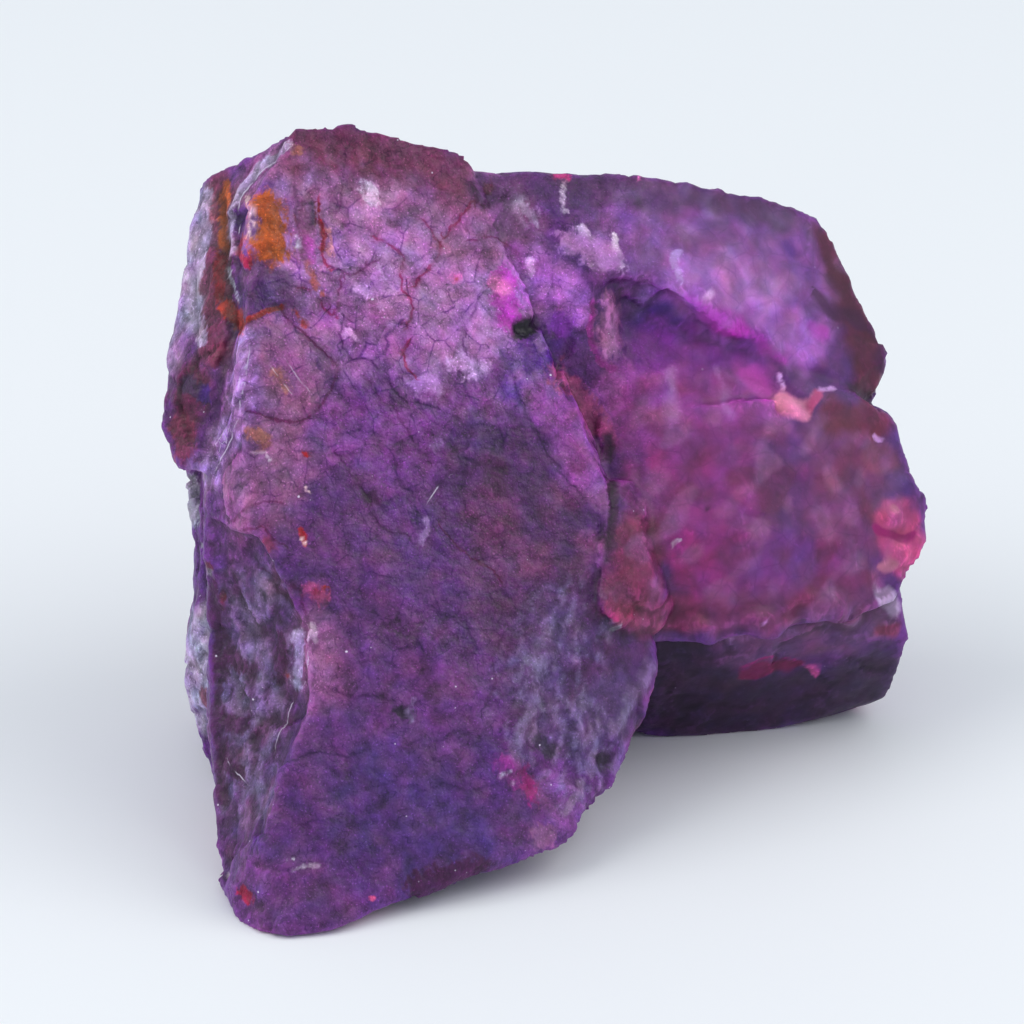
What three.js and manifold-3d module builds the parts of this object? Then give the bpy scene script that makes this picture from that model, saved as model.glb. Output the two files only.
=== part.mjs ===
// Raw tanzanite crystal: one rough, cloudy violet stone, broken from its rock, that stands on three
// natural feet.
// Units are millimetres, +Z is up, and the broad front face looks towards -Y.
//
// The stone is a single solid. Its form is a group of convex masses that grew as one crystal, each given
// by the corners where its cleavage faces meet, and joined in one body. Blocks and shell-shaped scoops are
// broken out of it. Every face is divided and made slightly uneven, and the feet are flat where the stone
// rests.

import * as THREE from "three";
import { ConvexGeometry } from "three/addons/geometries/ConvexGeometry.js";
import { ImprovedNoise } from "three/addons/math/ImprovedNoise.js";
import { mergeVertices } from "three/addons/utils/BufferGeometryUtils.js";
import Module from "manifold-3d";

const wasm = await Module();
wasm.setup();

// Driving dimensions.
const LONGEST_EDGE = 3.1; // no edge of a mass, block or scoop is longer
const SWELL = { size: 0.3, pitch: 7.5 }; // broad unevenness of the cleavage faces
const RIPPLE = { size: 0.16, pitch: 3.1 }; // smaller hackly unevenness
const NOISE_SHIFT = [11.3, 23.7, 37.1]; // keeps the unevenness along X, Y and Z independent
const SCOOP_DETAIL = 2; // times that an ellipsoid's faces are divided
const CLEARANCE = 100; // a block of this side is larger than the stone
const WELD = 1e-3; // vertices closer than this are one vertex
const STONE_COLOUR = 0x6b3c86;

// The masses of the stone. Corners are [x, y, z], with the front toe touching down at y = 0.
const MASSES = {
  // The broad front slab, from the toe up to the left end of the ridge.
  slab: [
    // ridge, from the peak to where it drops to the upper block
    [-12.2, 24, 38], [-9, 25.5, 37.7], [-6.5, 25.8, 36.9], [-2.4, 26.5, 35.2],
    // right edge, down to the heel
    [1, 22.6, 27], [1.4, 20, 24.5], [5.3, 17.8, 18.8], [8.3, 15.6, 10], [8.3, 14.9, 8.4], [7.3, 13, 6],
    [5.7, 10.2, 3.8], [3.2, 6.6, 2.2],
    // lower right bevel, which starts half way up the front face
    [2.4, 12.9, 11.8], [0.6, 9.4, 9.4], [-0.4, 6.6, 6.6], [0.2, 4.8, 2.4],
    // toe
    [-3.4, 3.6, 1.6], [-9.6, 0.2, 0.3], [-11.5, 1, -0.6], [-12.4, -0.3, 0.2], [-14, 0.2, 0.2],
    [-15.3, 1.5, -0.3],
    // left edge, up to the waist and the shoulder
    [-16.3, 4.2, 0.6], [-16.7, 7.4, 3], [-16.6, 10.2, 6], [-16.8, 13.3, 11.4], [-17.2, 15.2, 19.8],
    [-14.9, 16, 28.5], [-14.7, 21, 34.5],
    // buried side and back
    [-17.4, 26.6, 27], [-10, 29, 33], [-2, 31, 29], [2, 28, 24], [-17.6, 25, 14], [-16, 27, 4],
    [-14, 16, 1.5],
    [4, 20, 5], [4, 30, 5],
  ],
  // The left shoulder, which overhangs the left wall and ends in a chin.
  shoulder: [
    [-12.6, 24.8, 37.3], [-14, 26.5, 35.4], [-17.6, 27, 33.7], [-17.2, 28.2, 33],
    [-18.4, 23.8, 29], [-19.3, 21, 25.5], [-19.7, 17.6, 22.4], [-18.8, 16.4, 20.6], [-17.2, 15.2, 20.8],
    [-16.2, 17.6, 28], [-15.6, 20.4, 31.6], [-19.3, 22, 21], [-18.4, 27, 26], [-12, 30, 18],
    [-12, 28, 33],
  ],
  // The upper block, set back to the right of the ridge and cut off by a dark side bevel.
  upper: [
    [-3.2, 26.6, 34.6], [-0.5, 27.8, 33.7], [5, 29.3, 33.1], [10, 30.3, 32.1], [14.5, 31.3, 30.9],
    [17.8, 32.5, 29],
    [16.6, 30.8, 28.8], [18.4, 29.2, 25], [19, 26.8, 21], [20, 31, 25], [22, 30, 21], [21.4, 28.6, 19.6],
    [-0.6, 24.6, 31], [1.9, 23.2, 26], [3, 21.9, 20], [11, 24.9, 27.6], [15.5, 25.2, 20.6],
    [-4, 32.5, 30.5], [6, 35.4, 27.8], [15, 36.2, 25], [20.2, 34.8, 20], [20, 33.4, 15], [3, 34, 12],
    [17, 33, 13],
  ],
  // The lower right block, a broad plate that stands in front of the upper one.
  plate: [
    [5, 21.8, 20.6], [8, 22.2, 20.9], [15, 23.6, 21.2], [20.5, 26.4, 20], [22.2, 27, 18.5], [23.2, 26, 16],
    [23.2, 24.4, 12.5], [22, 21.8, 9.6], [18, 19.2, 10], [14, 17.6, 9.6], [10.5, 17, 9.2],
    [7.5, 16.8, 9.6],
    [5, 16.9, 11.5], [5.4, 17.6, 15.5], [13, 18.2, 15.6], [18.5, 20.6, 14],
    // sloping ledge, up to the block behind
    [4.6, 23.6, 22.2], [9, 24.6, 23.4], [14, 25.4, 23.2], [17.6, 27.2, 21.6],
    [22, 31, 17], [22, 31, 8], [8, 31, 5], [8, 30, 18],
  ],
  // The plate's left end, a lip that laps over the right flank of the slab.
  lip: [
    [5.5, 18.6, 18.8], [5.2, 16.5, 17.6], [5, 14.9, 15.6], [4.9, 13.5, 13.4], [5.6, 13.6, 12.4],
    [6.8, 14.5, 11.4], [8.1, 16.2, 9.9], [7.2, 17.6, 16.8], [7.8, 16.1, 13.8], [9.2, 16.8, 11.6],
    [9, 21, 17], [9, 20.5, 10.5], [6, 20, 18], [5.5, 19, 13],
  ],
  // The right foot, whose dark front is undercut below the plate.
  foot: [
    [8, 20.5, 8.6], [14.5, 20, 8.8], [22.3, 22.6, 9.8], [23.2, 22.8, 6.6], [22.8, 23.6, 4.2],
    [22.2, 24.6, 1.8],
    [20.2, 26.4, 0], [17, 25, -0.4], [13.5, 23.6, -0.5], [10.5, 23, -0.5], [7, 22.4, 0.4], [5, 21, 4],
    [20.4, 32, 1], [18, 32.4, -0.5], [9, 32, -0.5], [21.6, 31.4, 9], [7, 32.6, 8],
  ],
  // The left heel, a lump low on the left wall that carries the rear of the stone.
  heel: [
    [-18.1, 19.2, 10], [-18.7, 19.4, 5.6], [-18.2, 18.4, 2.5], [-17, 16.6, -0.4], [-14, 14, -0.2],
    [-17.6, 22, 16], [-18.6, 25, 6], [-17.8, 26.6, 1], [-16.5, 26, -0.5], [-10, 24.5, -0.5],
    [-6, 29.6, 1.4],
    [-14, 18, 14], [-17, 30, 8],
  ],
  // The right end of the plate carries a knot of small crystals.
  knot: [
    [21.6, 25.4, 16.6], [23.4, 25.6, 15.8], [24.2, 25.5, 13.6], [23.5, 24.3, 13], [23.8, 24.2, 11.6],
    [22.6, 23, 10.4], [21.2, 22.6, 11.2], [21, 23, 14.6], [21.4, 28, 12], [22.6, 27, 15],
  ],
  // The mass behind them all, with the broad broken faces of the back.
  back: [
    [-10.5, 31, 32.6], [-16.9, 29.4, 31.6], [-18.9, 24, 18], [-18.7, 23.6, 15.4], [-17.8, 21.6, 12.8],
    [-18.2, 29, 12], [1, 34, 29.3], [9, 36, 27.2], [16.5, 36.4, 24.4], [20.4, 34, 18.5], [-6, 36.4, 20],
    [8, 37, 17],
    [20, 34.6, 11], [-14, 33, 13], [-14.5, 29.6, 2.6], [-3, 32.5, 2], [7, 33.4, 0.8], [17.5, 33, 0.8],
    [21, 30, 9],
    [-12, 20, 4],
    [3, 22.4, 22.5], [4, 19.4, 12], [6, 20.4, 7], [18, 24.6, 11], [17.6, 26.6, 21.5], [2, 24.2, 27],
  ],
};

// Blocks split off along cleavage faces, also given by their corners.
const CUTS = {
  // Leaves the hackly bevel down the left of the slab, behind a ridge that ends in the toe.
  leftBevel: [
    [-14, 11.6, 19], [-11.4, 9.2, 14.6], [-11.3, 7.3, 10.7], [-12.4, 5.8, 8.6], [-13.4, 4.2, 6],
    [-14.9, 1.9, 2.6],
    [-17, 14.4, 18.4], [-16.5, 12.6, 11], [-16.3, 9.8, 5.8], [-16.4, 7.2, 2.6], [-16.2, 4.4, 0.3],
    [-16.5, 1, 23], [-17.5, -6, 5], [-11.5, -4, 20], [-13.6, -9, 8.5], [-21, 16, 15], [-21, 6, -1.5],
  ],
  // Leaves the crater, a recess under an arched rim.
  crater: [
    [4, 23.6, 27.6], [5.2, 24.6, 28.5], [7.3, 25.2, 28.8], [10.7, 24.9, 27], [14.2, 25.1, 24.2],
    [16.7, 25.3, 22],
    [16, 24.6, 20.9], [10.7, 23, 21.4], [5, 22, 21.7], [3.5, 22.6, 24.8],
    [6, 25.2, 25.8], [10.2, 25.4, 24.6], [13.4, 25.2, 23.4], [7.3, 24, 23.6], [10, 17, 28],
  ],
  // Leaves a leaning step down the left edge of the back.
  backStep: [
    [-15.4, 29, 22.4], [-13.6, 28.6, 9.6], [-8.8, 34.4, 25.4], [-3.6, 34.6, 6.4], [-18.4, 24.6, 20.6],
    [-17.6, 25.2, 11.6],
    [-34, 30, 26], [-34, 30, 6], [-14, 48, 30], [-10, 48, 0],
  ],
  // Leaves a corner knocked off low on the right of the back.
  backCorner: [
    [14.6, 31.6, 7.4], [11, 34.4, 8.6], [18.6, 33.6, 13.4], [21.6, 28.6, 7.6], [11.6, 31.8, -1],
    [19.4, 27.6, -1],
    [32, 36, 14], [30, 30, -6], [16, 48, 10], [10, 46, -6],
  ],
};

// Smaller pieces broken out: an ellipsoid's centre, its half-axes, and its turn about X, Y and Z in
// degrees.
const SCOOPS = [
  // front
  { at: [16.6, 23.7, 21.3], half: [2, 1.2, 1.1], turn: [-26, 0, 20] }, // bright nick at the plate's top edge
  // right end and underside
  { at: [23, 27.4, 19.3], half: [1.8, 3, 0.7], turn: [0, 10, 0] }, // notch below the side bevel
  { at: [-4, 11, -4.2], half: [12, 11, 6.8], turn: [0, 0, 20] }, // arch under the slab
  { at: [9, 17.4, 2.6], half: [5, 4, 5], turn: [0, 0, 10] }, // undercut in front of the right foot
  { at: [1, 31, -4.4], half: [6, 9, 5.8], turn: [0, 0, 0] }, // arch under the back
  // left
  { at: [-21.6, 15, 11], half: [4.2, 4, 5], turn: [10, 0, 0] }, // hollow in the left wall
];

// A closed geometry as a manifold-3d solid.
function solidOf(geometry) {
  const bare = new THREE.BufferGeometry();
  const flat = geometry.index ? geometry.toNonIndexed() : geometry;
  bare.setAttribute("position", flat.getAttribute("position"));
  const merged = mergeVertices(bare, WELD);
  return new wasm.Manifold(
    new wasm.Mesh({
      numProp: 3,
      vertProperties: new Float32Array(merged.attributes.position.array),
      triVerts: new Uint32Array(merged.index.array),
    }),
  );
}

// Splits every triangle at the middle of its longest edge until no edge is longer than the limit. Two
// triangles that share an edge split it at the same point, so the surface stays closed.
function divided(geometry, limit) {
  const place = geometry.getAttribute("position");
  const cornerOf = (i) => new THREE.Vector3().fromBufferAttribute(place, i);
  const waiting = [];
  for (let i = 0; i < place.count; i += 3) {
    waiting.push([cornerOf(i), cornerOf(i + 1), cornerOf(i + 2)]);
  }
  const done = [];
  while (waiting.length) {
    const [a, b, c] = waiting.pop();
    const lengths = [a.distanceTo(b), b.distanceTo(c), c.distanceTo(a)];
    const longest = Math.max(...lengths);
    if (longest <= limit) {
      done.push(a, b, c);
    } else if (longest === lengths[0]) {
      const middle = a.clone().add(b).multiplyScalar(0.5);
      waiting.push([a, middle, c], [middle, b, c]);
    } else if (longest === lengths[1]) {
      const middle = b.clone().add(c).multiplyScalar(0.5);
      waiting.push([b, middle, a], [middle, c, a]);
    } else {
      const middle = c.clone().add(a).multiplyScalar(0.5);
      waiting.push([c, middle, b], [middle, a, b]);
    }
  }
  return done;
}

// Moves a point by smooth noises, so that the faces are uneven and the edges wander.
const noise = new ImprovedNoise();
function uneven(point) {
  const moved = point.clone();
  for (const { size, pitch } of [SWELL, RIPPLE]) {
    const [x, y, z] = point.toArray().map((value) => value / pitch);
    moved.x += size * noise.noise(x + NOISE_SHIFT[0], y, z);
    moved.y += size * noise.noise(x, y + NOISE_SHIFT[1], z);
    moved.z += size * noise.noise(x, y, z + NOISE_SHIFT[2]);
  }
  return moved;
}

// A closed geometry as a solid with uneven faces.
function roughSolid(geometry) {
  return solidOf(new THREE.BufferGeometry().setFromPoints(divided(geometry, LONGEST_EDGE).map(uneven)));
}

function massOf(corners) {
  return roughSolid(new ConvexGeometry(corners.map((corner) => new THREE.Vector3(...corner))));
}

function scoopOf({ at, half, turn }) {
  const angles = turn.map((degrees) => THREE.MathUtils.degToRad(degrees));
  const pose = new THREE.Matrix4().compose(
    new THREE.Vector3(...at),
    new THREE.Quaternion().setFromEuler(new THREE.Euler(...angles)),
    new THREE.Vector3(...half),
  );
  return roughSolid(new THREE.IcosahedronGeometry(1, SCOOP_DETAIL).applyMatrix4(pose));
}

function roughStone() {
  const union = Object.values(MASSES).map(massOf).reduce((whole, mass) => whole.add(mass));
  const broken = [...Object.values(CUTS).map(massOf), ...SCOOPS.map(scoopOf)];
  return broken.reduce((whole, piece) => whole.subtract(piece), union);
}

// Cuts off what lies below z = 0, so that the feet are flat there.
function standing(stone) {
  const above = new THREE.BoxGeometry(CLEARANCE, CLEARANCE, CLEARANCE).translate(0, 0, CLEARANCE / 2);
  return stone.intersect(solidOf(above));
}

function geometryOf(solid) {
  const { numProp, numVert, vertProperties, triVerts } = solid.getMesh();
  const positions = new Float32Array(numVert * 3);
  for (let i = 0; i < numVert; i += 1) {
    positions.set(vertProperties.subarray(i * numProp, i * numProp + 3), i * 3);
  }
  const geometry = new THREE.BufferGeometry();
  geometry.setAttribute("position", new THREE.BufferAttribute(positions, 3));
  geometry.setIndex(new THREE.BufferAttribute(triVerts, 1));
  return geometry;
}

// The origin is the middle of the stone's bounding box, at the level that it stands on.
function centred(geometry) {
  geometry.computeBoundingBox();
  const middle = geometry.boundingBox.getCenter(new THREE.Vector3());
  return geometry.translate(-middle.x, -middle.y, 0);
}

const crystal = new THREE.Mesh(
  centred(geometryOf(standing(roughStone()))),
  new THREE.MeshStandardMaterial({ color: STONE_COLOUR, roughness: 0.35, metalness: 0 }),
);
crystal.name = "crystal";

const stone = new THREE.Group();
stone.add(crystal);

export default stone;
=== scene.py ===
import math
import random

import bpy
import numpy as np
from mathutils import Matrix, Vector, noise
from mathutils.bvhtree import BVHTree
from mathutils.kdtree import KDTree


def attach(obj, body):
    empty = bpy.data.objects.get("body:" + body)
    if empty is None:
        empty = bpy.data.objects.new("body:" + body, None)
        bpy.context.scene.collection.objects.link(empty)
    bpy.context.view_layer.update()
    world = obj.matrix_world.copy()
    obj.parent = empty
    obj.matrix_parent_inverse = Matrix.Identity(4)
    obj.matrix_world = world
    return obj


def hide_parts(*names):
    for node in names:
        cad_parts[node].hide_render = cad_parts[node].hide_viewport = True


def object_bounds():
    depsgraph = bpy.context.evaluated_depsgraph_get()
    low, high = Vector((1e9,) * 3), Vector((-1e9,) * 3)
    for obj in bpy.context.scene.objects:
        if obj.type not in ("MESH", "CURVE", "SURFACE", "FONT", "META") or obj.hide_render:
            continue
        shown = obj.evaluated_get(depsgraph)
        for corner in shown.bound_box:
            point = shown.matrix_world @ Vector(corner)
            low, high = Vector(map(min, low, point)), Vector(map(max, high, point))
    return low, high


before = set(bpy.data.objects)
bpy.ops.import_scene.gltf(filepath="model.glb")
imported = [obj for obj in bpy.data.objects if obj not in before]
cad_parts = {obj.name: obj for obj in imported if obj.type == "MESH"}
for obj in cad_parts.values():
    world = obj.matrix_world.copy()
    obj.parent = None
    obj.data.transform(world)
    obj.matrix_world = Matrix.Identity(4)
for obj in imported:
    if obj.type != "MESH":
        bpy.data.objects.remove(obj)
cad_low, cad_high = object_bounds()

# --- The table, the daylight and the lens ---------------------------------------------------------------
# The stone stands loose on a smooth white board in daylight. A long lens looks down on its broad front
# face. A window stands on each side, and a pale room fills in the shadows.

MM = 0.001
BOARD_RADIUS = 1.4
BOARD_SIDES = 96
BOARD_COLOUR = (0.86, 0.88, 0.905, 1)

LENS_TILT = math.radians(26)
LENS_DISTANCE = 0.3
LENS_LENGTH = 191.8
SENSOR = 36
AIM = Vector((-2.22, -8.0, 20.91)) * MM

ROOM_COLOUR = (0.86, 0.93, 1.0, 1)
ROOM_STRENGTH = 0.66
LIGHTS = [
    # name, place in metres, side in metres, watts, colour
    ("window on the left", (-0.35, -0.08, 0.36), 0.40, 1.06, (1.0, 0.98, 0.96)),
    ("window on the right", (0.35, -0.06, 0.36), 0.40, 0.92, (1.0, 0.98, 0.96)),
]


def unit(vector):
    vector = np.array(vector, float)
    return vector / np.linalg.norm(vector)


turns = [2 * math.pi * i / BOARD_SIDES for i in range(BOARD_SIDES)]
board_mesh = bpy.data.meshes.new("board")
board_mesh.from_pydata(
    [(BOARD_RADIUS * math.cos(t), BOARD_RADIUS * math.sin(t), 0) for t in turns],
    [],
    [tuple(range(BOARD_SIDES))],
)
board = bpy.data.objects.new("board", board_mesh)
bpy.context.collection.objects.link(board)

lens = bpy.data.cameras.new("lens")
lens.lens = LENS_LENGTH
lens.sensor_width = SENSOR
lens.clip_start = 0.01
camera = bpy.data.objects.new("camera", lens)
bpy.context.collection.objects.link(camera)
sight = Vector((0, math.cos(LENS_TILT), -math.sin(LENS_TILT)))
camera.location = AIM - sight * LENS_DISTANCE
camera.rotation_euler = sight.to_track_quat("-Z", "Y").to_euler()
bpy.context.scene.camera = camera

for name, place, side, watts, colour in LIGHTS:
    panel = bpy.data.lights.new(name, "AREA")
    panel.size = side
    panel.energy = watts
    panel.color = colour
    light = bpy.data.objects.new(name, panel)
    light.location = place
    light.rotation_euler = (-Vector(place)).to_track_quat("-Z", "Y").to_euler()
    bpy.context.collection.objects.link(light)

room = bpy.data.worlds.new("room")
room.use_nodes = True
room.node_tree.nodes["Background"].inputs["Color"].default_value = ROOM_COLOUR
room.node_tree.nodes["Background"].inputs["Strength"].default_value = ROOM_STRENGTH
bpy.context.scene.world = room
bpy.context.scene.view_settings.view_transform = "Standard"

# --- The body of the stone ------------------------------------------------------------------------------
# One crystal, broken out of its rock by hand and never cut or polished. Its broad faces are cleavage
# planes, and their edges are worn just enough to be dull to the finger.

MESH_SIZE = 0.27 * MM
SOFTENING = 2  # times each point is averaged with its neighbours

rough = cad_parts["crystal"]
stone = bpy.data.objects.new("crystal_stone", rough.data.copy())
bpy.context.collection.objects.link(stone)
net = stone.modifiers.new("even mesh", "REMESH")
net.mode = "VOXEL"
net.voxel_size = MESH_SIZE
even = bpy.data.meshes.new_from_object(stone.evaluated_get(bpy.context.evaluated_depsgraph_get()))
stone.modifiers.clear()
stone.data = even
even.materials.clear()

cad_tree = BVHTree.FromObject(rough, bpy.context.evaluated_depsgraph_get())


def triples(items, field):
    """A field of three numbers, read from each item."""
    flat = np.empty(len(items) * 3)
    items.foreach_get(field, flat)
    return flat.reshape(-1, 3)


def set_points(mesh, points):
    mesh.vertices.foreach_set("co", points.ravel())
    mesh.update()


links = np.empty(len(even.edges) * 2, int)
even.edges.foreach_get("vertices", links)
links = links.reshape(-1, 2)
link_count = np.bincount(links.ravel(), minlength=len(even.vertices)).reshape(-1, 1)


def softened(values, times):
    """Each vertex's value, averaged with its neighbours' a number of times."""
    for _ in range(times):
        total = np.stack([
            np.bincount(links[:, 0], column[links[:, 1]], len(values))
            + np.bincount(links[:, 1], column[links[:, 0]], len(values))
            for column in values.T
        ], 1)
        values = (values + total / link_count) / 2
    return values


# The even mesh rounds the edges by a mesh size, so its points go back to the cleavage planes. Then they
# are eased a little, which leaves the edges worn.
skin = triples(even.vertices, "co")
planes = np.array([cad_tree.find_nearest(Vector(p))[0] for p in skin])
skin = softened(planes, SOFTENING)
set_points(even, skin)
skin = skin / MM

# --- The broken skin ------------------------------------------------------------------------------------
# The stone breaks in small shell-shaped chips that overlap like scales, and each one tips its own way.
# The front is calm, most of all on its right half. The left bevel and the back are hackly.

CHIPS = [
    # size of a chip, tip of a chip, depth of its edge, random seed
    (3.4, 0.085, 0.05, 11),
    (1.5, 0.065, 0.035, 23),
    (0.8, 0.06, 0.02, 37),
]
RIPPLES = [(2.2, 0.09), (0.9, 0.05)]  # pitch and height
WANDER = (1.3, 0.45)  # pitch and distance by which the edges of chips and stains wander
RIDGE_WANDER = 0.5  # share of that distance by which ridges, lumps and marks wander
CRACK_WANDER = 0.2
CHIPS_TO_A_CUBE = 1.3  # how many chips there are to a cube of their own size
CHIP_EDGE = 0.25  # width of a chip's edge, as a share of its size
WORN_AWAY = 0.08  # how far the softened skin is moved back out, in millimetres
BROAD_FACE = unit((0.2, -0.75, 0.6))  # which way the broad front face looks
CALM = 0.45  # share of the roughness that the broad front face has
RIGHT_HALF = (2, 10)  # where the smoother right half begins, and where it is smoothest
RIGHT_SMOOTHER = 0.6  # how much of the roughness it lacks


def ripple(points, pitch, shift=0.0):
    """Uneven noise from about -1 to 1, whose bumps lie a pitch apart. The shift picks a place in it."""
    return np.array([noise.noise(Vector(p)) for p in points / pitch + shift])


def rise(value, start, end):
    """0 up to the start and 1 from the end, with soft ends."""
    x = np.clip((value - start) / (end - start), 0, 1)
    return x * x * (3 - 2 * x)


def fall(value, start, end):
    """1 up to the start and 0 from the end, with soft ends."""
    return rise(value, end, start)


outward = triples(even.vertex_normals, "vector")
pitch, distance = WANDER
wander = distance * np.stack([ripple(skin, pitch, shift) for shift in (3.1, 17.7, 41.3)], 1)
strayed = skin + wander

low, high = skin.min(0), skin.max(0)
relief = np.zeros(len(skin))
for size, tip, edge, seed in CHIPS:
    draw = random.Random(seed)
    count = int(np.prod((high - low) / size) * CHIPS_TO_A_CUBE)
    seeds = np.array([[draw.uniform(a, b) for a, b in zip(low, high)] for _ in range(count)])
    tips = np.array([unit([draw.gauss(0, 1) for _ in range(3)]) for _ in range(count)])
    tree = KDTree(count)
    for i, seed_point in enumerate(seeds):
        tree.insert(seed_point, i)
    tree.balance()
    nearest = [tree.find_n(p, 2) for p in strayed]
    own = np.array([n[0][1] for n in nearest])
    to_own = np.array([n[0][2] for n in nearest])
    to_next = np.array([n[1][2] for n in nearest])
    relief += tip * np.sum((strayed - seeds[own]) * tips[own], 1)
    relief -= edge * fall(to_next - to_own, 0, CHIP_EDGE * size)
for pitch, height in RIPPLES:
    relief += height * ripple(skin, pitch, 7.7)

broad_face = rise(outward @ BROAD_FACE, 0.75, 0.95)
right_half = rise(skin[:, 0], *RIGHT_HALF)
relief *= 1 - (1 - CALM) * broad_face
relief *= 1 - RIGHT_SMOOTHER * right_half * fall(outward[:, 1], -0.5, 0.5)

# --- Ridges, seams and hollows --------------------------------------------------------------------------
# Where the chips run together they leave sharp crests, and where the crystal parted it left seams that
# a nail catches in. Lumps and pits are single grains that stood proud or fell out. Each lies along a path
# on a flat sheet held against the front. A place on the sheet is (across, up) in millimetres.

ACROSS = unit((1, 0, 0))
UP = unit((0, math.sin(LENS_TILT), math.cos(LENS_TILT)))
OUT = np.cross(ACROSS, UP)
FAR_OUT = 60  # a place well outside the stone, in millimetres
DEPTH_COUNTS = 0.4  # how much of its depth counts in a point's distance from a path

facing = rise(outward @ OUT, -0.2, 0.1)


def under(place):
    """The point of the stone that lies under a place on the sheet."""
    on_axis = ACROSS * place[0] + UP * place[1]
    hit = cad_tree.ray_cast(Vector((on_axis + OUT * FAR_OUT) * MM), Vector(-OUT))[0]
    if hit is None:
        middle = on_axis + OUT * float(np.mean((low + high) / 2 @ OUT))
        hit = cad_tree.find_nearest(Vector(middle * MM))[0]
    return np.array(hit) / MM


def trace(places, points, limit):
    """How far each point lies from a path laid on the sheet, in millimetres, and on which side of it, as
    1 or -1. A path bridges small dips. Points beyond the limit are only said to be far."""
    best = np.full(len(points), 1e3)
    side = np.ones(len(points))
    spread = limit + 1.5
    spots = [under(place) for place in places]
    flat = np.stack([points @ ACROSS, points @ UP], 1)
    near = np.all((flat > np.min(places, 0) - spread) & (flat < np.max(places, 0) + spread), 1)
    mine = points[near]
    found, which = best[near], side[near]
    for a, b in zip(spots, spots[1:] or spots):
        run = b - a
        run_flat = run - OUT * (run @ OUT)
        length = run_flat @ run_flat
        along = np.clip((mine - a) @ run_flat / length, 0, 1) if length > 0 else np.zeros(len(mine))
        gap = mine - a - along[:, None] * run
        depth = gap @ OUT
        aside = gap - depth[:, None] * OUT
        distance = np.hypot(np.linalg.norm(aside, axis=1), DEPTH_COUNTS * depth)
        closer = distance < found
        turn = np.sign(aside @ np.cross(OUT, run_flat) + 1e-12)
        found = np.where(closer, distance, found)
        which = np.where(closer, turn, which)
    best[near], side[near] = found, which
    return best, side


def reach(places, points, width):
    """How far each point lies from a path, counted in widths, up to twice the width."""
    return trace(places, points, 2 * width)[0] / width


CRESTS = [
    # name, half-width, height, path
    ("rim of crater", 0.6, 0.18, [(1.4, 24.8), (1.6, 26.8), (2.2, 27.9), (2.9, 28.6), (4.2, 28.9),
     (5.6, 28.3), (7.1, 28.1), (8.5, 26.8), (10.5, 25.8), (12, 25.5), (13, 24.7), (13.5, 23.1)]),
    ("crest of left bevel", 0.6, 0.1, [(-13.5, 7.9), (-13.7, 5.4), (-14.2, 4.2), (-14.9, 2.5),
     (-16.1, 0.7), (-16.8, -1.3), (-17, -3.4)]),
    ("crest under peak", 0.3, 0.18, [(-16.3, 35.2), (-16.9, 33.9), (-17.6, 32.8), (-17.9, 31.4),
     (-17.9, 30.1), (-17.6, 27.1)]),
    ("crest of shoulder", 0.5, 0.15, [(-17.2, 24.8), (-17.3, 22.2), (-17.7, 20.4), (-18.6, 18.7),
     (-19.6, 16.4)]),
    ("streak b", 0.6, 0.2, [(-0.6, 7.2), (-1.1, 5.4), (-1.3, 4.2), (-1.8, 2.6), (-2.2, 1.2)]),
    ("streak c", 0.5, 0.15, [(0.7, 4.8), (1.5, 3.3), (1.3, 1.3)]),
    ("edge of right bevel", 0.6, 0.15, [(5.5, 6.5), (4.5, 4.25), (3.5, 2.75)]),
    ("edge of plate", 0.5, 0.2, [(4, 9.3), (6.5, 8.9), (9.5, 8.9), (12.5, 9.6), (15, 10.4)]),
    ("fold of block a", 0.5, 0.15, [(4.4, 32), (4.6, 29.8)]),
    ("fold of block b", 0.5, 0.15, [(7.2, 31), (7.6, 28.3)]),
]
LUMPS = [
    # name, half-width, height (below zero for a hollow), path
    ("oval grain in crater", 0.95, 0.45, [(3.25, 27), (3.25, 24.5)]),
    ("upper grain of knot", 0.75, 0.3, [(19.75, 15)]),
    ("lower grain of knot", 0.75, 0.3, [(20.25, 13)]),
    ("amber grain", 0.7, 0.4, [(-16.25, 19.5)]),
    ("swelling of iron", 0.9, 0.3, [(-16, 31.75), (-15.75, 29.75)]),
    ("grain by pit", 0.5, 0.35, [(-1.25, 29.4)]),
    ("pale block a", 0.8, 0.2, [(-4.75, 23.6)]),
    ("pale block b", 0.8, 0.2, [(-7, 22.3)]),
    ("wall lump a", 0.5, 0.15, [(-18.9, 12.2)]),
    ("wall lump b", 0.55, 0.18, [(-18.3, 10.5)]),
    ("salmon grain", 0.6, 0.25, [(13.9, 21.2)]),
    ("lavender chips", 0.5, 0.25, [(0.2, -0.25), (1.4, -0.4)]),
    ("pit", 0.55, -0.45, [(-1.7, 25.8), (-1.3, 25.5), (-1, 25.9)]),
    ("pock", 0.4, -0.3, [(-8.3, 4.3)]),
    ("hollow at right keel", 0.7, -0.35, [(3, 1.25)]),
    ("fold under plate a", 0.8, 0.4, [(8, 8.9), (8.9, 8.5)]),
    ("fold under plate b", 0.9, 0.5, [(11.6, 9.2), (12.6, 8.6)]),
    ("fold under plate c", 0.9, 0.45, [(16.2, 10), (17, 9.3)]),
    ("gap in folds", 0.8, -0.4, [(14.2, 9.6), (14.3, 9)]),
    ("hollow of bevel a", 0.6, -0.15, [(-17.2, 8.6), (-15.6, 8.2)]),
    ("hollow of bevel b", 0.6, -0.15, [(-18.2, 6.6), (-16.8, 6.2)]),
    ("hollow of bevel c", 0.6, -0.15, [(-16.9, 3.4), (-15.6, 3.9)]),
    ("hollow of bevel d", 0.5, -0.12, [(-14.8, 10.6), (-14.3, 9.2)]),
]
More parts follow.
